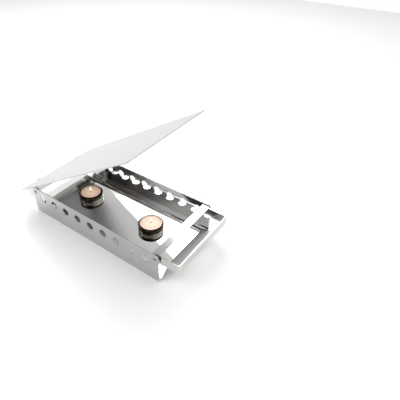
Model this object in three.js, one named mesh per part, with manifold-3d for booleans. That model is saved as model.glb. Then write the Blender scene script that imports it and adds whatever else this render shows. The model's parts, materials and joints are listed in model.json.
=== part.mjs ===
// Tea-light food warmer: a folded sheet tray, a flat-bar frame with a handle, a hinged lid plate
// with its own handle, and two lift-out tea lights in fixed holders.
// Millimetres, +Z up. X runs along the tray, away from the hinge; Y runs across it.
import * as THREE from 'three';
import { mergeVertices } from 'three/addons/utils/BufferGeometryUtils.js';
import Module from 'manifold-3d';

const wasm = await Module();
wasm.setup();

// Fits
const gap = 0.3;              // between pieces that touch
const pinClearance = 0.1;     // radial, around pins and rivets
const arcSteps = 5;           // facets in a sheet bend
const candleFacets = 44;
const fastenerFacets = 20;
const domeSteps = 4;

// Tray: one folded sheet, open at both ends
const trayLength = 300;
const trayWidth = 152;
const wallTop = 58.4;
const wallCorner = 5;         // rounded upper corners of the walls
const sheet = 1.2;
const foldFoot = 7;           // flat under each fold, which the tray stands on
const slopeRun = 27.5;        // from the wall's outer face to the raised floor
const floorTop = 20;
const sheetBend = 1.4;        // centre-line radius of a bend

// Round holes in both long walls
const holeCount = 9;
const holeRadius = 7.5;
const holePitch = 30.8;
const holeHeight = 40;

// Flat bar, used on edge for the frame and the lid's handle
const barThickness = 2.5;
const barHeight = 17;
const barTop = 55.9;
const barInset = 4.2;         // bar's outer face to the wall's outer face
const barCorner = 5;
const handleReach = 35.5;     // beyond the tray's end
const frameStart = 286;       // frame's free ends, from the tray's left end

// Crossbar: a flat strip laid over the frame's arms
const strip = 1.5;
const stripWidth = 14;
const stripCorner = 1;
const stripEnd = 0;           // from the tray's right end

// Hinge
const pivotX = 5.5;           // from the tray's left end
const pivotRadius = 2;
const pivotHead = 3.5;
const lidOpen = THREE.MathUtils.degToRad(31.5);

// Lid
const lidLength = 332;
const lidWidth = 184;
const lidThickness = 1.5;
const lidTop = 62.9;          // when closed
const lidShift = 3.5;         // lid's middle beyond the tray's middle, away from the hinge
const lidCorner = 1.5;
const hingeStripWidth = 15.5;
const hingeStripEnd = -4;     // right edge, from the pivot
const lidRivetInset = 26;     // from the wall's outer face
const bumperRadius = 5;
const bumperY = 50;

// Spacers between the walls and the bars, and the rivets through them
const spacerRadius = 3.6;
const rivetRadius = 1.5;
const rivetHead = 2.9;
const rivetTail = 2.1;
const wallRivetX = 292;       // from the tray's left end
const headHeight = 1.3;
const tailHeight = 0.9;
const pinHeadHeight = 1.5;
const pinTailHeight = 1.2;
const washerRadius = 4.5;
const washerThickness = 0.8;

// Tea-light holders and tea lights
const candlePlaces = { left: 75, right: 225 };  // from the tray's left end
const holderRadius = 23.2;
const holderHeight = 12.2;
const holderWall = 0.9;
const holderEase = 1;         // bevels between a pressed wall and its base
const innerEase = 0.6;
const flatHead = 0.4;         // the holder rivet's low head, under the cup
const cupRadius = 19.9;
const cupHeight = 11.8;
const cupWall = 0.5;
const cupEase = 0.8;
const waxRadius = 19.1;
const waxHeight = 9.8;
const waxEase = 0.9;
const waxDish = 0.6;          // how far the wax dips towards the wick
const wickRadius = 0.7;
const wickAbove = 6;
const wickTip = 0.6;
const tabRadius = 6;
const tabThickness = 0.4;

// Derived places
const leftEnd = -trayLength / 2;
const wallOuter = trayWidth / 2;
const barOuter = wallOuter - barInset;
const barInner = barOuter - barThickness;
const firstHole = (trayLength - (holeCount - 1) * holePitch) / 2;
const pivotZ = barTop - barHeight / 2;
const stripTop = barTop + gap + strip;
const lidUnder = lidTop - lidThickness;
const bumperHeight = lidUnder - stripTop - 2 * gap;

// Finishes
const satinSteel = { color: 0xd8d9db, roughness: 0.35, metalness: 1 };
const polishedSteel = { color: 0xe2e3e4, roughness: 0.08, metalness: 1 };
const barSteel = { color: 0xcbc9c5, roughness: 0.3, metalness: 1 };
const rivetSteel = { color: 0x9a9a9a, roughness: 0.3, metalness: 1 };
const aluminium = { color: 0xc4b8ac, roughness: 0.25, metalness: 1 };
const paraffin = { color: 0xf6cfa6, roughness: 0.45, metalness: 0 };
const cotton = { color: 0x3a2a20, roughness: 0.9, metalness: 0 };
const tinPlate = { color: 0xb5b2ac, roughness: 0.35, metalness: 1 };
const blackRubber = { color: 0x1c1c1c, roughness: 0.8, metalness: 0 };

// Turned frames for extrusions
const acrossTray = new THREE.Matrix4().makeBasis(
  new THREE.Vector3(0, 1, 0), new THREE.Vector3(0, 0, 1), new THREE.Vector3(1, 0, 0));
const sideOn = new THREE.Matrix4().makeBasis(
  new THREE.Vector3(1, 0, 0), new THREE.Vector3(0, 0, 1), new THREE.Vector3(0, -1, 0));

function toSolid(geometry) {
  const bare = geometry.clone();
  bare.deleteAttribute('normal');
  bare.deleteAttribute('uv');
  const merged = mergeVertices(bare, 1e-4);
  return new wasm.Manifold(new wasm.Mesh({
    numProp: 3,
    vertProperties: new Float32Array(merged.attributes.position.array),
    triVerts: new Uint32Array(merged.index.array),
  }));
}

function toGeometry(solid) {
  const mesh = solid.getMesh();
  const geometry = new THREE.BufferGeometry();
  geometry.setAttribute('position', new THREE.BufferAttribute(mesh.vertProperties, 3));
  geometry.setIndex(new THREE.BufferAttribute(mesh.triVerts, 1));
  const faceted = geometry.toNonIndexed();
  faceted.computeVertexNormals();
  return faceted;
}

function piece(name, geometry, finish) {
  const mesh = new THREE.Mesh(geometry, new THREE.MeshStandardMaterial(finish));
  mesh.name = name;
  return mesh;
}

function without(geometry, cutters) {
  let solid = toSolid(geometry);
  for (const cutter of cutters) solid = solid.subtract(toSolid(cutter));
  return toGeometry(solid);
}

// A rod along Y, longer than the tray is wide, for cutting holes in line
function crossRod(radius, x, z, facets = 24) {
  const rod = new THREE.CylinderGeometry(radius, radius, trayWidth + 10, facets);
  return rod.translate(x, 0, z);
}

function extrude(shape, depth, frame) {
  const solid = new THREE.ExtrudeGeometry(shape, { depth, bevelEnabled: false, curveSegments: 10 });
  return frame ? solid.applyMatrix4(frame) : solid;
}

// The closed outline of a sheet of even thickness, bent along a centre line
function bentSheet(corners, thickness, radius) {
  const left = [];
  const right = [];
  const addStation = (point, normal) => {
    left.push(point.clone().addScaledVector(normal, thickness / 2));
    right.push(point.clone().addScaledVector(normal, -thickness / 2));
  };
  const leftOf = (direction) => new THREE.Vector2(-direction.y, direction.x);
  const heading = (i) => corners[i + 1].clone().sub(corners[i]).normalize();
  addStation(corners[0], leftOf(heading(0)));
  for (let i = 1; i < corners.length - 1; i += 1) {
    const before = heading(i - 1);
    const after = heading(i);
    const turn = Math.atan2(before.cross(after), before.dot(after));
    const side = Math.sign(turn);
    const tangent = radius * Math.tan(Math.abs(turn) / 2);
    const start = corners[i].clone().addScaledVector(before, -tangent);
    const centre = start.clone().addScaledVector(leftOf(before), side * radius);
    for (let step = 0; step <= arcSteps; step += 1) {
      const normal = leftOf(before).rotateAround(new THREE.Vector2(), (turn * step) / arcSteps);
      addStation(centre.clone().addScaledVector(normal, -side * radius), normal);
    }
  }
  const last = corners.length - 1;
  addStation(corners[last], leftOf(heading(last - 1)));
  return new THREE.Shape([...left, ...right.reverse()]);
}

// A block as long as the tray and wider, with its upper corners rounded in side view
function roundedAbove(low, high, top, corner) {
  const shape = new THREE.Shape();
  shape.moveTo(low, -1);
  shape.lineTo(high, -1);
  shape.absarc(high - corner, top - corner, corner, 0, Math.PI / 2, false);
  shape.absarc(low + corner, top - corner, corner, Math.PI / 2, Math.PI, false);
  shape.closePath();
  return extrude(shape, trayWidth + 10, sideOn).translate(0, wallOuter + 5, 0);
}

function trayGeometry() {
  const half = sheet / 2;
  const nearSide = [
    [-wallOuter + half, wallTop],
    [-wallOuter + half, half],
    [-wallOuter + foldFoot, half],
    [-wallOuter + slopeRun, floorTop - half],
  ];
  const farSide = nearSide.map(([y, z]) => [-y, z]).reverse();
  const corners = [...nearSide, ...farSide].map(([y, z]) => new THREE.Vector2(y, z));
  const folded = extrude(bentSheet(corners, sheet, sheetBend), trayLength, acrossTray);
  folded.translate(leftEnd, 0, 0);
  const cutters = [];
  for (let i = 0; i < holeCount; i += 1) {
    const x = leftEnd + firstHole + i * holePitch;
    cutters.push(crossRod(holeRadius, x, holeHeight, 36));
  }
  cutters.push(crossRod(pivotRadius + pinClearance, leftEnd + pivotX, pivotZ));
  cutters.push(crossRod(rivetRadius + pinClearance, leftEnd + wallRivetX, pivotZ));
  for (const place of Object.values(candlePlaces)) {
    const hole = new THREE.CylinderGeometry(rivetRadius + pinClearance, rivetRadius + pinClearance, 10, 24);
    cutters.push(hole.rotateX(Math.PI / 2).translate(leftEnd + place, 0, floorTop));
  }
  const envelope = roundedAbove(leftEnd, -leftEnd, wallTop, wallCorner);
  return without(toGeometry(toSolid(folded).intersect(toSolid(envelope))), cutters);
}

// A flat bar on edge, bent to a U in plan: arms from the start, and a cross piece at the reach
function uBarGeometry(start, reach, height) {
  const innerCorner = barCorner - barThickness;
  const cornerX = reach - barCorner;
  const cornerY = barOuter - barCorner;
  const quarter = Math.PI / 2;
  const shape = new THREE.Shape();
  shape.moveTo(start, -barOuter);
  shape.absarc(cornerX, -cornerY, barCorner, -quarter, 0, false);
  shape.absarc(cornerX, cornerY, barCorner, 0, quarter, false);
  shape.lineTo(start, barOuter);
  shape.lineTo(start, barInner);
  shape.absarc(cornerX, cornerY, innerCorner, quarter, 0, true);
  shape.absarc(cornerX, -cornerY, innerCorner, 0, -quarter, true);
  shape.lineTo(start, -barInner);
  shape.closePath();
  return extrude(shape, height).translate(0, 0, -height / 2);
}

function frameBarGeometry() {
  const bar = uBarGeometry(leftEnd + frameStart, -leftEnd + handleReach, barHeight);
  bar.translate(0, 0, pivotZ);
  return without(bar, [crossRod(rivetRadius + pinClearance, leftEnd + wallRivetX, pivotZ)]);
}

function crossbarGeometry(start) {
  const far = start + stripWidth;
  const shape = new THREE.Shape();
  shape.moveTo(start + stripCorner, -barOuter);
  shape.absarc(far - stripCorner, -barOuter + stripCorner, stripCorner, -Math.PI / 2, 0, false);
  shape.absarc(far - stripCorner, barOuter - stripCorner, stripCorner, 0, Math.PI / 2, false);
  shape.absarc(start + stripCorner, barOuter - stripCorner, stripCorner, Math.PI / 2, Math.PI, false);
  shape.absarc(start + stripCorner, -barOuter + stripCorner, stripCorner, Math.PI, 1.5 * Math.PI, false);
  return extrude(shape, strip).translate(0, 0, stripTop - strip);
}

// A round piece turned about Y: outline points are [radius, height]
function turned(profile, facets = fastenerFacets) {
  return new THREE.LatheGeometry(profile.map(([r, h]) => new THREE.Vector2(r, h)), facets);
}

// Set in the near or the far wall, its height running inwards from the wall's outer face
function throughWall(geometry, side, x, z) {
  const facing = side < 0 ? geometry : geometry.rotateX(Math.PI);
  return facing.translate(x, side * wallOuter, z);
}

// A rivet head's outline, from its crown on the axis to its rim at the base height
function dome(radius, base, height) {
  const points = [[0, base - height]];
  for (let step = 1; step <= domeSteps; step += 1) {
    const angle = (step / domeSteps) * (Math.PI / 2);
    points.push([radius * Math.sin(angle), base - height * Math.cos(angle)]);
  }
  return points;
}

function wallRivetGeometry() {
  const tailFace = wallOuter - barInner + gap;
  return turned([
    ...dome(rivetHead, -gap, headHeight),
    [rivetRadius, -gap],
    [rivetRadius, tailFace],
    [rivetTail, tailFace],
    [rivetTail * 0.8, tailFace + tailHeight],
    [0, tailFace + tailHeight],
  ]);
}

function pivotPinGeometry() {
  const washerRoom = wallOuter - barInner + gap + washerThickness + gap;
  return turned([
    ...dome(pivotHead, -gap, pinHeadHeight),
    [pivotRadius, -gap],
    [pivotRadius, washerRoom],
    [pivotRadius * 1.5, washerRoom],
    [pivotRadius * 1.3, washerRoom + pinTailHeight],
    [0, washerRoom + pinTailHeight],
  ]);
}

function pivotWasherGeometry() {
  const face = wallOuter - barInner + gap;
  const bore = pivotRadius + pinClearance;
  const back = face + washerThickness;
  return turned([[bore, face], [washerRadius, face], [washerRadius, back], [bore, back], [bore, face]]);
}

function spacerGeometry(bore) {
  const near = sheet + gap;
  const far = barInset - gap;
  return turned([[bore, near], [spacerRadius, near], [spacerRadius, far], [bore, far], [bore, near]]);
}

// Lid pieces are made closed, with the pivot at their origin
function lidPlateGeometry() {
  const low = lidShift - (lidLength - trayLength) / 2 - pivotX;
  const high = low + lidLength;
  const half = lidWidth / 2;
  const shape = new THREE.Shape();
  shape.moveTo(low + lidCorner, -half);
  shape.lineTo(high - lidCorner, -half);
  shape.absarc(high - lidCorner, -half + lidCorner, lidCorner, -Math.PI / 2, 0, false);
  shape.absarc(high - lidCorner, half - lidCorner, lidCorner, 0, Math.PI / 2, false);
  shape.absarc(low + lidCorner, half - lidCorner, lidCorner, Math.PI / 2, Math.PI, false);
  shape.absarc(low + lidCorner, -half + lidCorner, lidCorner, Math.PI, 1.5 * Math.PI, false);
  const plate = extrude(shape, lidThickness).translate(0, 0, lidUnder - pivotZ);
  return without(plate, lidRivetHoles());
}

function lidRivetPlaces() {
  const x = hingeStripEnd - hingeStripWidth / 2;
  const y = wallOuter - lidRivetInset;
  return { front: [x, -y], back: [x, y] };
}

function lidRivetHoles() {
  return Object.values(lidRivetPlaces()).map(([x, y]) => {
    const size = rivetRadius + pinClearance;
    const hole = new THREE.CylinderGeometry(size, size, 20, 24);
    return hole.rotateX(Math.PI / 2).translate(x, y, lidUnder - pivotZ);
  });
}

function hingeStripGeometry() {
  const low = barTop + gap - pivotZ;
  const high = lidUnder - gap - pivotZ;
  const shape = new THREE.Shape();
  shape.moveTo(hingeStripEnd - hingeStripWidth, -barOuter);
  shape.lineTo(hingeStripEnd, -barOuter);
  shape.lineTo(hingeStripEnd, barOuter);
  shape.lineTo(hingeStripEnd - hingeStripWidth, barOuter);
  shape.closePath();
  const bar = extrude(shape, high - low).translate(0, 0, low);
  return without(bar, lidRivetHoles());
}

// The handle's arms end in round ears on the hinge axis
function lidHandleGeometry() {
  const ear = barHeight / 2;
  const reach = pivotX + handleReach;
  const bar = uBarGeometry(-ear, reach, barHeight).rotateZ(Math.PI);
  const outline = new THREE.Shape();
  outline.moveTo(-reach - barCorner, -ear);
  outline.absarc(0, 0, ear, -Math.PI / 2, Math.PI / 2, false);
  outline.lineTo(-reach - barCorner, ear);
  outline.closePath();
  const envelope = extrude(outline, trayWidth, sideOn).translate(0, wallOuter, 0);
  const eared = toSolid(bar).intersect(toSolid(envelope));
  const pinHole = crossRod(pivotRadius + pinClearance, 0, 0);
  return toGeometry(eared.subtract(toSolid(pinHole)));
}

function lidRivetGeometry() {
  const over = lidTop - pivotZ + gap / 2;
  const under = barTop + gap - pivotZ - gap / 2;
  const rivet = turned([
    [0, under - tailHeight],
    [rivetTail * 0.8, under - tailHeight],
    [rivetTail, under],
    [rivetRadius, under],
    [rivetRadius, over],
    ...dome(rivetHead, over, -headHeight).reverse(),
  ]);
  return rivet.rotateX(Math.PI / 2);
}

function bumperGeometry() {
  const high = lidUnder - gap - pivotZ;
  return turned([
    [0, high - bumperHeight],
    [bumperRadius - 0.5, high - bumperHeight],
    [bumperRadius, high - bumperHeight / 2],
    [bumperRadius, high],
    [0, high],
  ]).rotateX(Math.PI / 2);
}

// Candle pieces are turned about their own axis, with heights from the tray's floor
function holderGeometry() {
  const foot = gap;
  const inner = holderRadius - holderWall;
  const bore = rivetRadius + pinClearance;
  return turned([
    [bore, foot], [holderRadius - holderEase, foot],
    [holderRadius, foot + holderEase], [holderRadius, holderHeight],
    [inner, holderHeight], [inner, foot + holderWall + innerEase], [inner - innerEase, foot + holderWall],
    [bore, foot + holderWall], [bore, foot],
  ], candleFacets).rotateX(Math.PI / 2);
}

const holderRivetTop = gap + holderWall + gap + flatHead;
const candleFoot = holderRivetTop + gap;

function holderRivetGeometry() {
  const under = -sheet - gap;
  return turned([
    ...dome(rivetHead, under, headHeight),
    [rivetRadius, under],
    [rivetRadius, holderRivetTop - flatHead],
    [rivetTail, holderRivetTop - flatHead],
    [rivetTail, holderRivetTop],
    [0, holderRivetTop],
  ]).rotateX(Math.PI / 2);
}

function cupGeometry() {
  const inner = cupRadius - cupWall;
  return turned([
    [0, 0], [cupRadius - cupEase, 0], [cupRadius, cupEase], [cupRadius, cupHeight],
    [inner, cupHeight], [inner, cupWall + innerEase], [inner - innerEase, cupWall], [0, cupWall],
  ], candleFacets).rotateX(Math.PI / 2);
}

function waxGeometry() {
  const foot = cupWall + gap;
  const top = foot + waxHeight;
  const bore = wickRadius + pinClearance;
  const tabRoom = tabThickness + 2 * gap;
  return turned([
    [bore, foot + tabRoom], [tabRadius + gap, foot + tabRoom], [tabRadius + gap, foot],
    [waxRadius - waxEase, foot], [waxRadius, foot + waxEase], [waxRadius, top - 0.1],
    [waxRadius - 0.5, top], [waxRadius - 2, top - waxDish / 2], [2, top - waxDish],
    [bore, top - waxDish], [bore, foot + tabRoom],
  ], candleFacets).rotateX(Math.PI / 2);
}

function wickTabGeometry() {
  const foot = cupWall + gap;
  return turned([
    [0, foot], [tabRadius, foot], [tabRadius, foot + tabThickness], [0, foot + tabThickness],
  ]).rotateX(Math.PI / 2);
}

function wickGeometry() {
  const foot = cupWall + gap + tabThickness + gap;
  const top = cupWall + gap + waxHeight + wickAbove;
  return turned([
    [0, foot], [wickRadius, foot], [wickRadius, top - wickTip], [wickRadius * 0.6, top], [0, top],
  ], 12).rotateX(Math.PI / 2);
}

// Heights in a lathe outline run along Y; turning them up to Z keeps the profile the right way round
const warmer = new THREE.Group();
warmer.name = 'food_warmer';

warmer.add(piece('base_tray', trayGeometry(), polishedSteel));
warmer.add(piece('frame_bar', frameBarGeometry(), barSteel));
warmer.add(piece('crossbar', crossbarGeometry(-leftEnd - stripEnd - stripWidth), polishedSteel));

for (const [name, side] of [['front', -1], ['back', 1]]) {
  const hinge = [leftEnd + pivotX, pivotZ];
  const fixing = [leftEnd + wallRivetX, pivotZ];
  warmer.add(piece(`wall_rivet_${name}`, throughWall(wallRivetGeometry(), side, ...fixing), rivetSteel));
  warmer.add(piece(`frame_spacer_${name}`,
    throughWall(spacerGeometry(rivetRadius + pinClearance), side, ...fixing), rivetSteel));
  warmer.add(piece(`pivot_spacer_${name}`,
    throughWall(spacerGeometry(pivotRadius + pinClearance), side, ...hinge), rivetSteel));
  warmer.add(piece(`pivot_pin_${name}`, throughWall(pivotPinGeometry(), side, ...hinge), rivetSteel));
  warmer.add(piece(`pivot_washer_${name}`, throughWall(pivotWasherGeometry(), side, ...hinge), rivetSteel));
}

const lid = new THREE.Group();
lid.position.set(leftEnd + pivotX, 0, pivotZ);
lid.rotation.y = -lidOpen;
lid.add(piece('lid_plate', lidPlateGeometry(), satinSteel));
lid.add(piece('hinge_strip', hingeStripGeometry(), satinSteel));
lid.add(piece('lid_handle', lidHandleGeometry(), barSteel));
for (const [name, [x, y]] of Object.entries(lidRivetPlaces())) {
  const rivet = piece(`lid_rivet_${name}`, lidRivetGeometry(), rivetSteel);
  rivet.position.set(x, y, 0);
  lid.add(rivet);
  const bumper = piece(`lid_bumper_${name}`, bumperGeometry(), blackRubber);
  const overStrip = trayLength - stripEnd - stripWidth / 2 - pivotX;
  bumper.position.set(overStrip, Math.sign(y) * bumperY, 0);
  lid.add(bumper);
}
warmer.add(lid);

for (const [name, place] of Object.entries(candlePlaces)) {
  const station = new THREE.Group();
  station.position.set(leftEnd + place, 0, floorTop);
  station.add(piece(`candle_holder_${name}`, holderGeometry(), polishedSteel));
  station.add(piece(`holder_rivet_${name}`, holderRivetGeometry(), rivetSteel));
  const teaLight = new THREE.Group();
  teaLight.position.z = candleFoot;
  teaLight.add(piece(`tealight_cup_${name}`, cupGeometry(), aluminium));
  teaLight.add(piece(`tealight_wax_${name}`, waxGeometry(), paraffin));
  teaLight.add(piece(`wick_tab_${name}`, wickTabGeometry(), tinPlate));
  teaLight.add(piece(`wick_${name}`, wickGeometry(), cotton));
  station.add(teaLight);
  warmer.add(station);
}

// The origin is under the middle of the whole object's box, on the table
const box = new THREE.Box3().setFromObject(warmer, true);
warmer.position.x = -(box.min.x + box.max.x) / 2;

export default warmer;
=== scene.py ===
import json
import math
import bpy
import bmesh
from mathutils import Matrix, Vector


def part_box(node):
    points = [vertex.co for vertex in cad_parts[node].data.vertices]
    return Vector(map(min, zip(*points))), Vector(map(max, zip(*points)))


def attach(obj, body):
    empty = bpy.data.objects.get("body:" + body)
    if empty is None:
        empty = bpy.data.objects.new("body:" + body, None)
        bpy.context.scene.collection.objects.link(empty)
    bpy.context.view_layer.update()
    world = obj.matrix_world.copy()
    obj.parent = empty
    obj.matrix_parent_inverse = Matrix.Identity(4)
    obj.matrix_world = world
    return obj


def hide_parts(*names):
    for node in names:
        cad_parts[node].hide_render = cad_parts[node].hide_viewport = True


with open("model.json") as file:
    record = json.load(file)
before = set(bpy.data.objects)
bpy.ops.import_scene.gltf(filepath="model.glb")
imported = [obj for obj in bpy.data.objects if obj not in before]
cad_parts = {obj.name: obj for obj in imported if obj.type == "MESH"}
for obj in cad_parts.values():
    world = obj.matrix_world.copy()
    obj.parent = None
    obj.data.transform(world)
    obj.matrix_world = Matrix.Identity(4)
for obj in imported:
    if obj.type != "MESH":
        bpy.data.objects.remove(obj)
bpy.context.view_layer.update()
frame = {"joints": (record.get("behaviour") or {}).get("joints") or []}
bpy.ops.object.select_all(action="DESELECT")
scene = bpy.context.scene

mm = 0.001
hair = 1e-6  # points closer than this are one point
offAxis, onAxis = 0.3, 0.7  # a normal is square to an axis below the first, along it above the second
joints = {joint["name"]: joint for joint in frame["joints"]}
pivot = Vector(joints["lid_hinge"]["pos_m"])
lidOpen = math.radians(-joints["lid_hinge"]["range_deg"][0])  # the lid stands this far open
lidTurn = Matrix.Translation(pivot) @ Matrix.Rotation(-lidOpen, 4, "Y")
lowOf = lambda node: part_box(node)[0]
highOf = lambda node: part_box(node)[1]
trayLow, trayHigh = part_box("base_tray")
barLow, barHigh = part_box("frame_bar")


camera = {"place": (0.39243, -0.38469, 0.48908), "heading": 2.2288, "down": 0.6815,
          "tilt": -0.0127, "lens": 34.27, "shift": 0.1}


def makeCamera(c):
    bpy.ops.object.camera_add(location=c["place"])
    shot = bpy.context.active_object
    shot.name = "studioCamera"
    look = Vector((math.cos(c["heading"]) * math.cos(c["down"]),
                   math.sin(c["heading"]) * math.cos(c["down"]), -math.sin(c["down"])))
    shot.rotation_euler = (look.to_track_quat("-Z", "Y").to_matrix().to_4x4()
                           @ Matrix.Rotation(c["tilt"], 4, "Z")).to_euler()
    shot.data.sensor_width = 36
    shot.data.lens = c["lens"]
    shot.data.shift_x = c["shift"]
    shot.data.clip_start, shot.data.clip_end = 0.01, 50
    scene.camera = shot


makeCamera(camera)
scene.view_settings.view_transform = "Standard"
print("camera ready")


def newMaterial(name):
    made = bpy.data.materials.new(name)
    made.use_nodes = True
    tree = made.node_tree
    return made, tree, tree.nodes["Principled BSDF"]


def addNode(tree, kind, **settings):
    made = tree.nodes.new(kind)
    for key, value in settings.items():
        if key in made.inputs:
            made.inputs[key].default_value = value
        else:
            setattr(made, key, value)
    return made


# a socket is linked to another one, or set to a plain value
def feed(tree, socket, value):
    if isinstance(value, bpy.types.NodeSocket):
        tree.links.new(value, socket)
    else:
        socket.default_value = value


def mathAt(tree, operation, *values, **settings):
    made = addNode(tree, "ShaderNodeMath", operation=operation, **settings)
    for socket, value in zip(made.inputs, values):
        feed(tree, socket, value)
    return made.outputs[0]


mixSockets, mixResult = (0, 6, 7), 2  # a Mix node's factor, first and second colour, and its colour output


def mixColour(tree, factor, first, second, blend="MIX"):
    made = addNode(tree, "ShaderNodeMix", data_type="RGBA", blend_type=blend)
    for place, value in zip(mixSockets, (factor, first, second)):
        feed(tree, made.inputs[place], value)
    return made.outputs[mixResult]


# object coordinates, turned and stretched along a grain and centred on a place
def objectPlace(tree, turn=(0, 0, 0), stretch=(1, 1, 1), middle=(0, 0, 0)):
    coordinate = addNode(tree, "ShaderNodeTexCoord")
    mapping = addNode(tree, "ShaderNodeMapping", vector_type="POINT")
    mapping.inputs["Location"].default_value = [-m * s for m, s in zip(middle, stretch)]
    mapping.inputs["Rotation"].default_value = turn
    mapping.inputs["Scale"].default_value = stretch
    tree.links.new(coordinate.outputs["Object"], mapping.inputs["Vector"])
    return mapping.outputs["Vector"]


def noiseAt(tree, vector, scale, detail=3.0, rough=0.6):
    noise = addNode(tree, "ShaderNodeTexNoise")
    noise.inputs["Scale"].default_value = scale
    noise.inputs["Detail"].default_value = detail
    noise.inputs["Roughness"].default_value = rough
    tree.links.new(vector, noise.inputs["Vector"])
    return noise.outputs["Fac"]


def rangeOf(tree, value, low, high, fromLow=0.3, fromHigh=0.7):
    span = addNode(tree, "ShaderNodeMapRange")
    span.inputs["From Min"].default_value = fromLow
    span.inputs["From Max"].default_value = fromHigh
    span.inputs["To Min"].default_value = low
    span.inputs["To Max"].default_value = high
    tree.links.new(value, span.inputs["Value"])
    return span.outputs["Result"]


def colourRamp(tree, value, stops):
    ramp = addNode(tree, "ShaderNodeValToRGB")
    while len(ramp.color_ramp.elements) < len(stops):
        ramp.color_ramp.elements.new(0.5)
    for element, (place, colour) in zip(ramp.color_ramp.elements, stops):
        element.position = place
        element.color = (*colour, 1)
    tree.links.new(value, ramp.inputs["Fac"])
    return ramp.outputs["Color"]


def addBump(tree, shader, height, strength, distance):
    bump = addNode(tree, "ShaderNodeBump")
    bump.inputs["Strength"].default_value = strength
    bump.inputs["Distance"].default_value = distance
    tree.links.new(height, bump.inputs["Height"])
    tree.links.new(bump.outputs["Normal"], shader.inputs["Normal"])


def steelFinish(name, dark, light, rough, grain, turn=(0, 0, 0), bump=0.04):
    made, tree, shader = newMaterial(name)
    shader.inputs["Metallic"].default_value = 1.0
    lines = noiseAt(tree, objectPlace(tree, turn, grain), 1.0, 4.0, 0.7)
    clouds = noiseAt(tree, objectPlace(tree, turn), 14.0, 2.0)
    lineShare, cloudShare = 0.35, 0.65
    mix = mathAt(tree, "MULTIPLY_ADD", lines, lineShare, mathAt(tree, "MULTIPLY", clouds, cloudShare))
    tree.links.new(colourRamp(tree, mix, [(0.3, dark), (0.7, light)]), shader.inputs["Base Color"])
    tree.links.new(rangeOf(tree, mix, *rough), shader.inputs["Roughness"])
    addBump(tree, shader, lines, bump, 0.00005)
    return made, tree, shader


lidGrain = (0, lidOpen, 0)
polishedSheet, trayTree, trayShader = steelFinish(
    "polishedSheet", (0.76, 0.755, 0.745), (0.84, 0.835, 0.825), (0.03, 0.06), (4, 900, 900), bump=0.004)
satinBar = steelFinish("satinBar", (0.62, 0.61, 0.59), (0.70, 0.69, 0.67), (0.16, 0.24), (8, 8, 900))[0]
satinLidBar = steelFinish("satinLidBar", (0.62, 0.61, 0.59), (0.70, 0.69, 0.67), (0.16, 0.24),
                          (8, 8, 900), lidGrain)[0]
satinLid = steelFinish("satinLid", (0.61, 0.61, 0.615), (0.65, 0.65, 0.655), (0.34, 0.40),
                       (5, 700, 700), lidGrain)[0]
rivetSteel = steelFinish("rivetSteel", (0.38, 0.38, 0.37), (0.52, 0.52, 0.51), (0.22, 0.34),
                         (300, 300, 300))[0]
holderSteel, holderTree, holderShader = steelFinish(
    "holderSteel", (0.42, 0.40, 0.35), (0.58, 0.56, 0.50), (0.05, 0.12), (60, 60, 900))
# a darker, rougher steel drawn on the sheets' edge faces
darkEdgeSteel = steelFinish("darkEdgeSteel", (0.38, 0.38, 0.37), (0.54, 0.54, 0.53), (0.32, 0.46),
                           (200, 200, 200))[0]
cupFoil = steelFinish("cupFoil", (0.55, 0.49, 0.43), (0.70, 0.63, 0.56), (0.14, 0.28), (90, 90, 1200),
                      bump=0.12)[0]
tabTin = steelFinish("tabTin", (0.42, 0.42, 0.40), (0.56, 0.56, 0.54), (0.25, 0.40), (400, 400, 400))[0]


# painted shade: the walls' outer faces get their base colour multiplied down by this factor
outside = {"from": trayHigh.y - 0.6 * mm, "rougher": 0.24, "paintedShade": (0.67, 0.67, 0.68, 1)}


# the walls are satin outside and polished inside; outside their colour is also darkened, which is painted
# shade
def satinAndShadedOutside(tree, shader, look):
    place = addNode(tree, "ShaderNodeTexCoord")
    split = addNode(tree, "ShaderNodeSeparateXYZ")
    tree.links.new(place.outputs["Object"], split.inputs[0])
    side = mathAt(tree, "ABSOLUTE", split.outputs["Y"])
    outer = mathAt(tree, "GREATER_THAN", side, look["from"])
    rough = shader.inputs["Roughness"].links[0].from_socket
    rougher = mathAt(tree, "MULTIPLY_ADD", outer, look["rougher"], rough)
    tree.links.new(rougher, shader.inputs["Roughness"])
    steel = shader.inputs["Base Color"].links[0].from_socket
    paintedShade = mixColour(tree, outer, steel, look["paintedShade"], "MULTIPLY")
    tree.links.new(paintedShade, shader.inputs["Base Color"])


satinAndShadedOutside(trayTree, trayShader, outside)


holderRim = highOf("candle_holder_left").z
# painted reflection: the holders' rims are drawn darker, standing in for dark reflections
paintedRimReflection = {"from": holderRim - 8 * mm, "to": holderRim - 4 * mm, "patches": 120.0, "ragged": 0.35,
        "clean": (1.0, 1.0, 1.0), "dark": (0.16, 0.14, 0.10)}


# painted reflection: the holders darken towards their rims, a dark reflection drawn into their colour
def paintRimReflection(tree, shader, look):
    split = addNode(tree, "ShaderNodeSeparateXYZ")
    tree.links.new(objectPlace(tree), split.inputs[0])
    rise = rangeOf(tree, split.outputs["Z"], 0.0, 1.0, look["from"], look["to"])
    patch = noiseAt(tree, objectPlace(tree), look["patches"], 3.0)
    edge = mathAt(tree, "MULTIPLY_ADD", patch, look["ragged"], rise, use_clamp=True)
    steel = shader.inputs["Base Color"].links[0].from_socket
    shade = colourRamp(tree, edge, [(0.2, look["clean"]), (0.75, look["dark"])])
    tree.links.new(mixColour(tree, 1.0, steel, shade, "MULTIPLY"), shader.inputs["Base Color"])


paintRimReflection(holderTree, holderShader, paintedRimReflection)


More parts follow.
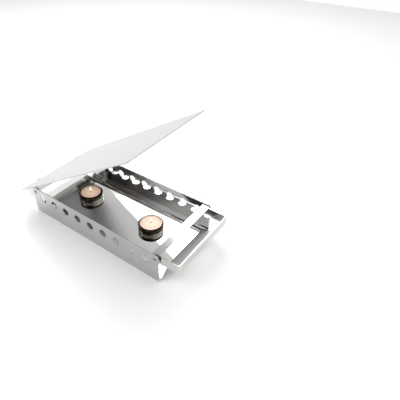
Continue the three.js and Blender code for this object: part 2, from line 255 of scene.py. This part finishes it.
def rubberFinish():
    made, tree, shader = newMaterial("bumperRubber")
    grain = noiseAt(tree, objectPlace(tree), 900.0)
    tree.links.new(colourRamp(tree, grain, [(0.3, (0.012, 0.012, 0.012)), (0.7, (0.035, 0.035, 0.034))]),
                   shader.inputs["Base Color"])
    tree.links.new(rangeOf(tree, grain, 0.55, 0.8), shader.inputs["Roughness"])
    addBump(tree, shader, grain, 0.3, 0.0001)
    return made


def cottonFinish():
    made, tree, shader = newMaterial("wickCotton")
    braid = addNode(tree, "ShaderNodeTexWave", wave_type="BANDS", bands_direction="DIAGONAL")
    braid.inputs["Scale"].default_value = 900.0
    tree.links.new(objectPlace(tree), braid.inputs["Vector"])
    charred = [(0.2, (0.012, 0.009, 0.007)), (0.8, (0.07, 0.045, 0.03))]
    tree.links.new(colourRamp(tree, braid.outputs["Fac"], charred), shader.inputs["Base Color"])
    shader.inputs["Roughness"].default_value = 0.95
    addBump(tree, shader, braid.outputs["Fac"], 0.5, 0.0001)
    return made


def waxFinish(side, middle):
    made, tree, shader = newMaterial("wax_" + side)
    place = objectPlace(tree, middle=middle)
    reach = addNode(tree, "ShaderNodeVectorMath", operation="LENGTH")
    tree.links.new(place, reach.inputs[0])
    paintedGlow = rangeOf(tree, reach.outputs["Value"], 1.0, 0.0, 0.002, 0.020)
    cloud = noiseAt(tree, objectPlace(tree), 160.0, 3.0)
    tree.links.new(colourRamp(tree, cloud, [(0.3, (0.84, 0.60, 0.50)), (0.7, (0.91, 0.72, 0.63))]),
                   shader.inputs["Base Color"])
    tree.links.new(rangeOf(tree, cloud, 0.25, 0.45), shader.inputs["Roughness"])
    shader.inputs["Subsurface Weight"].default_value = 0.25
    shader.inputs["Subsurface Radius"].default_value = (0.006, 0.003, 0.0015)
    shader.inputs["Subsurface Scale"].default_value = 0.5
    # painted light: the wax glows, brightest near the middle of its top, standing in for light from the flame
    tree.links.new(colourRamp(tree, paintedGlow, [(0.0, (0.30, 0.18, 0.12)), (1.0, (1.0, 0.74, 0.50))]),
                   shader.inputs["Emission Color"])
    shader.inputs["Emission Strength"].default_value = 0.45
    addBump(tree, shader, cloud, 0.15, 0.0004)
    return made


def flameFinish(side, middle, height):
    made, tree, shader = newMaterial("flame_" + side)
    split = addNode(tree, "ShaderNodeSeparateXYZ")
    tree.links.new(objectPlace(tree, middle=middle), split.inputs[0])
    up = rangeOf(tree, split.outputs["Z"], 0.0, 1.0, 0.0, height)
    flicker = noiseAt(tree, objectPlace(tree), 300.0)
    swayShare = 0.12
    sway = mathAt(tree, "MULTIPLY_ADD", flicker, swayShare, up)
    glow = colourRamp(tree, sway, [(0.05, (0.25, 0.22, 0.5)), (0.3, (1.0, 0.62, 0.22)),
                                   (0.65, (1.0, 0.88, 0.58)), (1.0, (1.0, 0.72, 0.32))])
    shader.inputs["Base Color"].default_value = (0, 0, 0, 1)
    shader.inputs["Roughness"].default_value = 1.0
    shader.inputs["Specular IOR Level"].default_value = 0.0
    tree.links.new(glow, shader.inputs["Emission Color"])
    shader.inputs["Emission Strength"].default_value = 2.2
    return made


bumperRubber = rubberFinish()
wickCotton = cottonFinish()
print("finishes ready")


def edit(piece, mode="EDGE"):
    bpy.ops.object.select_all(action="DESELECT")
    bpy.context.view_layer.objects.active = piece
    piece.select_set(True)
    bpy.ops.object.mode_set(mode="EDIT")
    bpy.ops.mesh.select_mode(type=mode)


def done():
    bpy.ops.object.mode_set(mode="OBJECT")


def pickEdges(piece, test):
    bpy.ops.mesh.select_all(action="DESELECT")
    work = bmesh.from_edit_mesh(piece.data)
    for e in work.edges:
        if test(e):
            e.select_set(True)
    work.select_flush_mode()
    bmesh.update_edit_mesh(piece.data)


def pickPoints(piece, test):
    bpy.ops.mesh.select_all(action="DESELECT")
    work = bmesh.from_edit_mesh(piece.data)
    for v in work.verts:
        if test(v):
            v.select_set(True)
    work.select_flush_mode()
    bmesh.update_edit_mesh(piece.data)


def applyPlace(piece, place=None):
    bpy.ops.object.select_all(action="DESELECT")
    bpy.context.view_layer.objects.active = piece
    piece.select_set(True)
    if place is not None:
        piece.matrix_world = place
    bpy.ops.object.transform_apply(location=True, rotation=True, scale=True)


def modify(piece, kind, **settings):
    bpy.ops.object.select_all(action="DESELECT")
    bpy.context.view_layer.objects.active = piece
    piece.select_set(True)
    bpy.ops.object.modifier_add(type=kind)
    modifier = piece.modifiers[-1]
    for key, value in settings.items():
        setattr(modifier, key, value)
    bpy.ops.object.modifier_apply(modifier=modifier.name)


def eased(piece, width, steps=2, angle=35):
    modify(piece, "BEVEL", width=width, segments=steps, limit_method="ANGLE",
           angle_limit=math.radians(angle), use_clamp_overlap=True)


def smooth(piece, angle=40):
    bpy.ops.object.select_all(action="DESELECT")
    bpy.context.view_layer.objects.active = piece
    piece.select_set(True)
    bpy.ops.object.shade_smooth_by_angle(angle=math.radians(angle))
    modify(piece, "WEIGHTED_NORMAL", keep_sharp=True, weight=60)


# a flat rectangle spanning two edge vectors
def flatSheet(name, middle, along, across):
    bpy.ops.object.select_all(action="DESELECT")
    bpy.ops.mesh.primitive_plane_add(size=1)
    piece = bpy.context.active_object
    piece.name = name
    piece.data.name = name
    along, across = Vector(along), Vector(across)
    up = along.cross(across).normalized()
    place = Matrix((along, across, up)).transposed().to_4x4()
    place.translation = Vector(middle)
    applyPlace(piece, place)
    return piece


# a strip extruded along a path and bent at each of its corners
def foldedSheet(name, path, across, bend, steps):
    path = [Vector(p) for p in path]
    across = Vector(across)
    piece = flatSheet(name, (path[0] + path[1]) / 2, path[1] - path[0], across)
    edit(piece)
    end = path[1]
    pickEdges(piece, lambda e: all((v.co - end).cross(across).length < 1e-7 for v in e.verts))
    for before, after in zip(path[1:], path[2:]):
        bpy.ops.mesh.extrude_edges_move(TRANSFORM_OT_translate={"value": after - before})
    pickEdges(piece, lambda e: len(e.link_faces) == 2)
    bpy.ops.mesh.bevel(offset=bend, segments=steps, affect="EDGES", clamp_overlap=True)
    bpy.ops.mesh.select_all(action="SELECT")
    bpy.ops.mesh.remove_doubles(threshold=hair)
    bpy.ops.mesh.normals_make_consistent(inside=False)
    done()
    return piece


def roundCorners(piece, radius, steps, test):
    edit(piece, "VERT")
    pickPoints(piece, test)
    bpy.ops.mesh.bevel(offset=radius, segments=steps, affect="VERTICES", clamp_overlap=True)
    done()


def rod(radius, length, middle, turn, facets):
    bpy.ops.object.select_all(action="DESELECT")
    bpy.ops.mesh.primitive_cylinder_add(vertices=facets, radius=radius, depth=length, location=middle,
                                        rotation=turn)
    made = bpy.context.active_object
    applyPlace(made)
    return made


def cut(piece, tools):
    bpy.ops.object.select_all(action="DESELECT")
    for tool in tools:
        tool.select_set(True)
    bpy.context.view_layer.objects.active = tools[0]
    if len(tools) > 1:
        bpy.ops.object.join()
    modify(piece, "BOOLEAN", operation="DIFFERENCE", object=tools[0], solver="EXACT")
    bpy.data.objects.remove(tools[0])


def inMillimetres(profile):
    return [(r * mm, h * mm) for r, h in profile]


# a round solid: a disc extruded and scaled ring by ring; the profile is (radius, height)
def turned(name, profile, facets, place=None):
    bpy.ops.object.select_all(action="DESELECT")
    radius, height = profile[0]
    bpy.ops.mesh.primitive_circle_add(vertices=facets, radius=radius, fill_type="NGON",
                                      location=(0, 0, height))
    piece = bpy.context.active_object
    piece.name = name
    piece.data.name = name
    applyPlace(piece)
    edit(piece, "FACE")
    bpy.ops.mesh.select_all(action="SELECT")
    for (r0, h0), (r1, h1) in zip(profile, profile[1:]):
        bpy.ops.mesh.extrude_region_move(TRANSFORM_OT_translate={"value": (0, 0, h1 - h0)})
        bpy.ops.transform.resize(value=(r1 / r0, r1 / r0, 1), center_override=(0, 0, h1))
    bpy.ops.mesh.select_all(action="SELECT")
    bpy.ops.mesh.normals_make_consistent(inside=False)
    done()
    if place is not None:
        applyPlace(piece, place)
    return piece


def finished(piece, finish, body, slot, *nodes):
    piece.data.materials.clear()
    piece.data.materials.append(finish)
    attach(piece, body)
    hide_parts(*nodes)


# edge faces of the sheets, picked by their place and normal, are drawn in a darker, rougher steel
def darkEdgeFaces(piece, test):
    piece.data.materials.append(darkEdgeSteel)
    for face in piece.data.polygons:
        if test(face.center, face.normal):
            face.material_index = 1


tray = {"sheet": 1.2 * mm, "foot": 7 * mm, "slope": 27.5 * mm, "floor": 20 * mm, "bend": 1.25 * mm,
        "holes": 9, "holeRadius": 7.5 * mm, "pitch": 30.8 * mm, "holeHeight": 40 * mm, "corner": 5 * mm,
        "pinHole": 2.1 * mm, "rivetHole": 1.6 * mm, "holeFacets": 64, "boreFacets": 32, "past": 10 * mm,
        "floorBore": 8 * mm, "wallSkin": 0.1 * mm, "bendSteps": 6, "cornerSteps": 8, "edge": 0.22 * mm}


def makeTray(t):
    half = t["sheet"] / 2
    wall, top = trayHigh.y - half, trayHigh.z
    nearSide = [(-wall, top), (-wall, half), (-trayHigh.y + t["foot"], half),
                (-trayHigh.y + t["slope"], t["floor"] - half)]
    farSide = [(-y, z) for y, z in reversed(nearSide)]
    middle = (trayLow.x + trayHigh.x) / 2
    path = [(middle, y, z) for y, z in nearSide + farSide]
    piece = foldedSheet("baseTray", path, (trayHigh.x - trayLow.x, 0, 0), t["bend"], t["bendSteps"])
    roundCorners(piece, t["corner"], t["cornerSteps"], lambda v: v.co.z > top - hair)
    modify(piece, "SOLIDIFY", thickness=t["sheet"], offset=0, use_even_offset=True)
    edit(piece)
    bpy.ops.mesh.select_all(action="SELECT")
    bpy.ops.mesh.normals_make_consistent(inside=False)
    done()
    across = (math.pi / 2, 0, 0)
    first = middle - (t["holes"] - 1) / 2 * t["pitch"]
    wide = 2 * trayHigh.y + t["past"]
    tools = [rod(t["holeRadius"], wide, (first + i * t["pitch"], 0, t["holeHeight"]), across, t["holeFacets"])
             for i in range(t["holes"])]
    tools.append(rod(t["pinHole"], wide, (pivot.x, 0, pivot.z), across, t["boreFacets"]))
    rivet = (lowOf("wall_rivet_front") + highOf("wall_rivet_front")) / 2
    tools.append(rod(t["rivetHole"], wide, (rivet.x, 0, rivet.z), across, t["boreFacets"]))
    for side in ("left", "right"):
        spot = (lowOf("holder_rivet_" + side) + highOf("holder_rivet_" + side)) / 2
        tools.append(rod(t["rivetHole"], t["floorBore"], (spot.x, spot.y, t["floor"]), (0, 0, 0),
                         t["boreFacets"]))
    cut(piece, tools)
    eased(piece, t["edge"])
    smooth(piece)
    finished(piece, polishedSheet, "base", "polished_sheet", "base_tray")
    inWall = trayHigh.y - t["sheet"] - t["wallSkin"]
    isWall = lambda c: abs(c.y) > inWall and c.z > 2 * t["sheet"]
    darkEdgeFaces(piece, lambda c, n: abs(n.y) < offAxis if isWall(c) else abs(n.x) > onAxis)


makeTray(tray)
print("tray ready")


bar = {"thick": 2.5 * mm, "corner": 4.0 * mm, "cornerSteps": 8, "edge": 0.4 * mm, "rivetHole": 1.6 * mm,
       "pinHole": 2.1 * mm, "boreFacets": 32, "boreLength": 0.2, "earRound": 0.985, "earSteps": 12}


def bentBar(name, start, reach, side, low, high, b):
    half = b["thick"] / 2
    inner = side - half
    middle = (low + high) / 2
    end = reach - math.copysign(half, reach - start)
    path = [(start, -inner, middle), (end, -inner, middle), (end, inner, middle), (start, inner, middle)]
    return foldedSheet(name, path, (0, 0, high - low), b["corner"], b["cornerSteps"])


def makeFrameBar(b):
    piece = bentBar("frameBar", barLow.x, barHigh.x, barHigh.y, barLow.z, barHigh.z, b)
    modify(piece, "SOLIDIFY", thickness=b["thick"], offset=0, use_even_offset=True)
    rivet = (lowOf("wall_rivet_front") + highOf("wall_rivet_front")) / 2
    cut(piece, [rod(b["rivetHole"], b["boreLength"], (rivet.x, 0, rivet.z), (math.pi / 2, 0, 0),
                    b["boreFacets"])])
    eased(piece, b["edge"])
    smooth(piece)
    finished(piece, satinBar, "base", "satin_bar", "frame_bar")


def makeLidHandle(b):
    tall = (barHigh.z - barLow.z) / 2
    reach = barHigh.x - trayHigh.x + pivot.x - trayLow.x
    piece = bentBar("lidHandle", tall, -reach, barHigh.y, -tall, tall, b)
    roundCorners(piece, tall * b["earRound"], b["earSteps"], lambda v: v.co.x > tall - hair)
    modify(piece, "SOLIDIFY", thickness=b["thick"], offset=0, use_even_offset=True)
    cut(piece, [rod(b["pinHole"], b["boreLength"], (0, 0, 0), (math.pi / 2, 0, 0), b["boreFacets"])])
    eased(piece, b["edge"])
    applyPlace(piece, lidTurn)
    smooth(piece)
    finished(piece, satinLidBar, "lid", "satin_bar", "lid_handle")


makeFrameBar(bar)
makeLidHandle(bar)
print("bars ready")


crossbar = {"corner": 1.0 * mm, "cornerSteps": 5, "edge": 0.3 * mm}


def makeCrossbar(name, node, c):
    low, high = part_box(node)
    middle = (low + high) / 2
    piece = flatSheet(name, middle, (high.x - low.x, 0, 0), (0, high.y - low.y, 0))
    roundCorners(piece, c["corner"], c["cornerSteps"], lambda v: True)
    modify(piece, "SOLIDIFY", thickness=high.z - low.z, offset=0)
    eased(piece, c["edge"])
    smooth(piece)
    finished(piece, satinBar, "base", "polished_sheet", node)
    darkEdgeFaces(piece, lambda _, normal: abs(normal.z) < offAxis)


makeCrossbar("crossbar", "crossbar", crossbar)
print("crossbar ready")


lid = {"length": 332 * mm, "width": 184 * mm, "thick": 1.5 * mm, "top": 15.5 * mm, "low": -18 * mm,
       "corner": 1.5 * mm, "edge": 0.3 * mm, "rivetHole": 1.6 * mm, "rivetSide": 50 * mm,
       "stripEnd": -4 * mm, "stripWide": 15.5 * mm, "stripLow": 8.8 * mm, "stripHigh": 13.7 * mm,
       "cornerSteps": 6, "boreFacets": 32, "boreLength": 40 * mm}
lidRivetX = lid["stripEnd"] - lid["stripWide"] / 2


def makeLid(d):
    holes = lambda: [rod(d["rivetHole"], d["boreLength"], (lidRivetX, side * d["rivetSide"], d["top"]),
                         (0, 0, 0), d["boreFacets"]) for side in (-1, 1)]
    middle = (d["low"] + d["length"] / 2, 0, d["top"] - d["thick"] / 2)
    plate = flatSheet("lidPlate", middle, (d["length"], 0, 0), (0, d["width"], 0))
    roundCorners(plate, d["corner"], d["cornerSteps"], lambda v: True)
    modify(plate, "SOLIDIFY", thickness=d["thick"], offset=0)
    cut(plate, holes())
    eased(plate, d["edge"])
    applyPlace(plate, lidTurn)
    smooth(plate)
    finished(plate, satinLid, "lid", "satin_lid", "lid_plate")
    upward = lidTurn.to_3x3() @ Vector((0, 0, 1))
    darkEdgeFaces(plate, lambda _, normal: abs(normal.dot(upward)) < offAxis)
    middle = (lidRivetX, 0, (d["stripLow"] + d["stripHigh"]) / 2)
    strip = flatSheet("hingeStrip", middle, (d["stripWide"], 0, 0), (0, 2 * barHigh.y, 0))
    modify(strip, "SOLIDIFY", thickness=d["stripHigh"] - d["stripLow"], offset=0)
    cut(strip, holes())
    eased(strip, d["edge"])
    applyPlace(strip, lidTurn)
    smooth(strip)
    finished(strip, satinLidBar, "lid", "satin_bar", "hinge_strip")


makeLid(lid)
print("lid ready")


# millimetres: heights run inwards from the wall's outer face, on the lid up from the hinge pins' axis, and
# on the holders up from the floor; a tail's steps are (radius, height past the face it is closed on)
hardware = {"facets": 40, "head": 2.9, "headHeight": 1.3, "pinHead": 3.5, "pinHeadHeight": 1.5, "rivet": 1.5,
            "pin": 2.0, "bore": 0.1, "boreFacets": 32, "boreLength": 20, "gap": 0.3, "barFace": 7.0,
            "washer": 0.8, "washerRadius": 4.5, "spacer": (1.5, 3.9), "spacerRadius": 3.6, "ringEdge": 0.12,
            "rivetTail": [(2.1, 0), (2.1, 0.3), (1.9, 0.7), (1.5, 0.9)],
            "pinTail": [(3.0, 0), (3.0, 0.6), (2.8, 1.0), (2.4, 1.2)],
            "lidTail": [(2.1, 0), (2.1, 0.3), (1.8, 0.7), (1.4, 0.9)],
            "holderTail": [(2.1, 0), (2.1, 0.3), (2.0, 0.4)],
            "lidShank": (8.65, 15.65), "holderShank": (-1.5, 1.5), "bumperX": 287.5,
            "bumper": [(4.3, 10.6), (4.7, 10.75), (4.9, 11.1), (5.0, 12.15), (5.0, 13.5), (4.8, 13.7)]}


# a rivet head from its crown to its rim
def domed(radius, base, height, steps=6):
    angles = [math.pi / 2 * (i + 0.4) / (steps + 0.4) for i in range(steps + 1)]
    return [(radius * math.sin(a), base - height * math.cos(a)) for a in angles]


# a shank between two faces, with its tail closed on the second
def shankAndTail(radius, start, face, tail, way=1):
    return [(radius, start), (radius, face)] + [(r, face + way * h) for r, h in tail]


def fastener(name, profile, place, body, node):
    piece = turned(name, inMillimetres(profile), hardware["facets"], place)
    smooth(piece, angle=35)
    finished(piece, rivetSteel, body, "rivet_steel", node)


def ring(name, radius, bore, low, high, place, node):
    piece = turned(name, inMillimetres([(radius, low), (radius, high)]), hardware["facets"])
    cut(piece, [rod(bore * mm, hardware["boreLength"] * mm, (0, 0, (low + high) / 2 * mm), (0, 0, 0),
                    hardware["boreFacets"])])
    eased(piece, hardware["ringEdge"] * mm, 1)
    applyPlace(piece, place)
    smooth(piece, angle=35)
    finished(piece, rivetSteel, "base", "rivet_steel", node)


def makeWallHardware(h):
    gap, face = h["gap"], h["barFace"]
    back = face + h["washer"] + gap
    for word, side in (("front", -1), ("back", 1)):
        name = word.capitalize()
        rivet = (lowOf("wall_rivet_" + word) + highOf("wall_rivet_" + word)) / 2
        facing = Matrix.Rotation(side * math.pi / 2, 4, "X")
        fixing = Matrix.Translation((rivet.x, side * trayHigh.y, rivet.z)) @ facing
        hinge = Matrix.Translation((pivot.x, side * trayHigh.y, pivot.z)) @ facing
        shank, pin = h["rivet"], h["pin"]
        rivetHead = domed(h["head"], -gap, h["headHeight"])
        fastener("wallRivet" + name, rivetHead + shankAndTail(shank, -gap, face, h["rivetTail"]), fixing,
                 "base", "wall_rivet_" + word)
        pinHead = domed(h["pinHead"], -gap, h["pinHeadHeight"])
        fastener("pivotPin" + name, pinHead + shankAndTail(pin, -gap, back, h["pinTail"]), hinge,
                 "base", "pivot_pin_" + word)
        ring("pivotWasher" + name, h["washerRadius"], pin + h["bore"], face, face + h["washer"], hinge,
             "pivot_washer_" + word)
        ring("frameSpacer" + name, h["spacerRadius"], shank + h["bore"], *h["spacer"], fixing,
             "frame_spacer_" + word)
        ring("pivotSpacer" + name, h["spacerRadius"], pin + h["bore"], *h["spacer"], hinge,
             "pivot_spacer_" + word)


def makeLidHardware(h):
    under, over = h["lidShank"]
    crown = [(r, 2 * over - z) for r, z in reversed(domed(h["head"], over, h["headHeight"]))]
    profile = shankAndTail(h["rivet"], over, under, h["lidTail"], -1)[::-1] + crown
    for word, side in (("front", -1), ("back", 1)):
        place = lidTurn @ Matrix.Translation((lidRivetX, side * lid["rivetSide"], 0))
        fastener("lidRivet" + word.capitalize(), profile, place, "lid", "lid_rivet_" + word)
        place = lidTurn @ Matrix.Translation((h["bumperX"] * mm, side * lid["rivetSide"], 0))
        bumper = turned("lidBumper" + word.capitalize(), inMillimetres(h["bumper"]), h["facets"], place)
        smooth(bumper, angle=50)
        finished(bumper, bumperRubber, "lid", "bumper_rubber", "lid_bumper_" + word)


def makeHolderRivets(h):
    under, over = h["holderShank"]
    head = domed(h["head"], under, h["headHeight"])
    profile = head + shankAndTail(h["rivet"], under, over, h["holderTail"])
    for word in ("left", "right"):
        spot = (lowOf("holder_rivet_" + word) + highOf("holder_rivet_" + word)) / 2
        place = Matrix.Translation((spot.x, spot.y, tray["floor"]))
        fastener("holderRivet" + word.capitalize(), profile, place, "base", "holder_rivet_" + word)


makeWallHardware(hardware)
makeLidHardware(hardware)
makeHolderRivets(hardware)
print("hardware ready")


# outlines are (radius, height above the floor) in millimetres
candle = {"floor": 20 * mm, "facets": 96, "tabFacets": 48, "wickFacets": 16, "flameFacets": 24,
          "paintedGlowMiddle": 12 * mm, "flameFoot": 15.6 * mm, "flameTall": 10 * mm,
          "holder": [(4.0, 0.3), (21.6, 0.3), (22.6, 0.55), (23.1, 1.2), (23.2, 2.0), (23.2, 10.9),
                     (23.2, 11.9), (23.05, 12.15), (22.75, 12.2), (22.45, 12.1), (22.3, 11.8), (22.3, 2.0),
                     (21.9, 1.4), (21.2, 1.2), (4.0, 1.2)],
          "cup": [(3.0, 2.2), (18.4, 2.2), (19.3, 2.5), (19.7, 3.2), (19.65, 13.3), (19.85, 13.7),
                  (19.9, 13.9), (19.75, 14.0), (19.45, 13.95), (19.4, 13.6), (19.4, 3.4), (19.0, 2.9),
                  (18.3, 2.7), (3.0, 2.7)],
          "wax": [(3.0, 3.7), (18.2, 3.0), (19.1, 3.9), (19.1, 12.4), (19.0, 12.65), (18.7, 12.75),
                  (18.1, 12.6), (17.0, 12.3), (15.0, 12.2), (10.0, 12.15), (5.0, 12.1), (2.0, 12.15),
                  (1.0, 12.25)],
          "tab": [(5.0, 3.0), (6.0, 3.05), (6.0, 3.35), (5.8, 3.4), (1.0, 3.4)],
          "wick": [(0.5, 3.7), (0.7, 3.8), (0.7, 14.0), (0.68, 16.0), (0.72, 17.0), (0.6, 18.2), (0.3, 18.8)],
          "flame": [(0.35, 15.6), (0.9, 16.4), (1.35, 17.6), (1.5, 18.8), (1.35, 20.4), (1.0, 22.0),
                    (0.6, 23.6), (0.28, 24.8), (0.06, 25.5)]}


def makeCandles(c):
    for side in ("left", "right"):
        low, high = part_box("candle_holder_" + side)
        spot = Vector(((low.x + high.x) / 2, (low.y + high.y) / 2, c["floor"]))
        place = Matrix.Translation(spot)
        body = "tealight_" + side
        name = side.capitalize()
        wax = waxFinish(side, spot + Vector((0, 0, c["paintedGlowMiddle"])))
        rows = (
            ("holder", "candleHolder", holderSteel, "base", "polished_sheet", "candle_holder_", c["facets"]),
            ("cup", "cup", cupFoil, body, "cup_foil", "tealight_cup_", c["facets"]),
            ("wax", "wax", wax, body, "paraffin", "tealight_wax_", c["facets"]),
            ("tab", "wickTab", tabTin, body, "tin_tab", "wick_tab_", c["tabFacets"]),
            ("wick", "wick", wickCotton, body, "wick_cotton", "wick_", c["wickFacets"]))
        for key, word, finish, rides, slot, node, facets in rows:
            piece = turned(word + name, inMillimetres(c[key]), facets, place)
            smooth(piece, angle=50)
            finished(piece, finish, rides, slot, node + side)
        flame = turned("flame" + name, inMillimetres(c["flame"]), c["flameFacets"], place)
        smooth(flame, angle=80)
        foot = spot + Vector((0, 0, c["flameFoot"]))
        flame.data.materials.append(flameFinish(side, foot, c["flameTall"]))
        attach(flame, body)


makeCandles(candle)
print("candles ready")


studio = {"groundSize": 4, "groundTones": [(0.3, (0.93, 0.93, 0.93)), (0.7, (0.95, 0.95, 0.95))],
          "groundClouds": 3.0, "groundRough": 0.6, "groundShine": 0.2, "darkTo": -0.6, "whiteFrom": 0.25,
          "roomTones": [(0.0, (0.045, 0.043, 0.040)), (1.0, (1.0, 1.0, 1.0))], "white": (1, 1, 1, 1)}
lamps = [{"name": "keyBox", "place": (-0.7, 0.9, 1.5), "size": 1.0, "power": 16, "reflected": True},
         {"name": "fillBox", "place": (-0.5, -1.3, 1.6), "size": 1.6, "power": 31, "reflected": False}]


def makeStage(look):
    bpy.ops.object.select_all(action="DESELECT")
    bpy.ops.mesh.primitive_plane_add(size=look["groundSize"])
    ground = bpy.context.active_object
    ground.name = "ground"
    made, tree, shader = newMaterial("paleGround")
    cloud = noiseAt(tree, objectPlace(tree), look["groundClouds"])
    tree.links.new(colourRamp(tree, cloud, look["groundTones"]), shader.inputs["Base Color"])
    shader.inputs["Roughness"].default_value = look["groundRough"]
    shader.inputs["Specular IOR Level"].default_value = look["groundShine"]
    ground.data.materials.append(made)


# reflections see a room that is dark on the -Y side, and the camera sees plain white
def makeWorld(look):
    world = bpy.data.worlds.new("softStudio")
    scene.world = world
    world.use_nodes = True
    tree = world.node_tree
    background = tree.nodes["Background"]
    place = addNode(tree, "ShaderNodeTexCoord")
    split = addNode(tree, "ShaderNodeSeparateXYZ")
    tree.links.new(place.outputs["Generated"], split.inputs[0])
    side = rangeOf(tree, split.outputs["Y"], 0.0, 1.0, look["darkTo"], look["whiteFrom"])
    room = colourRamp(tree, side, look["roomTones"])
    seen = addNode(tree, "ShaderNodeLightPath")
    tree.links.new(mixColour(tree, seen.outputs["Is Camera Ray"], room, look["white"]),
                   background.inputs["Color"])
    background.inputs["Strength"].default_value = 1.0


# a square lamp that looks at the frame's origin
def softbox(name, place, size, power, reflected):
    bpy.ops.object.light_add(type="AREA", location=place)
    lamp = bpy.context.active_object
    lamp.name = name
    lamp.data.shape = "SQUARE"
    lamp.data.size = size
    lamp.data.energy = power
    lamp.rotation_euler = (-Vector(place)).to_track_quat("-Z", "Y").to_euler()
    lamp.visible_glossy = reflected


makeStage(studio)
makeWorld(studio)
for lamp in lamps:
    softbox(**lamp)
print("stage ready")
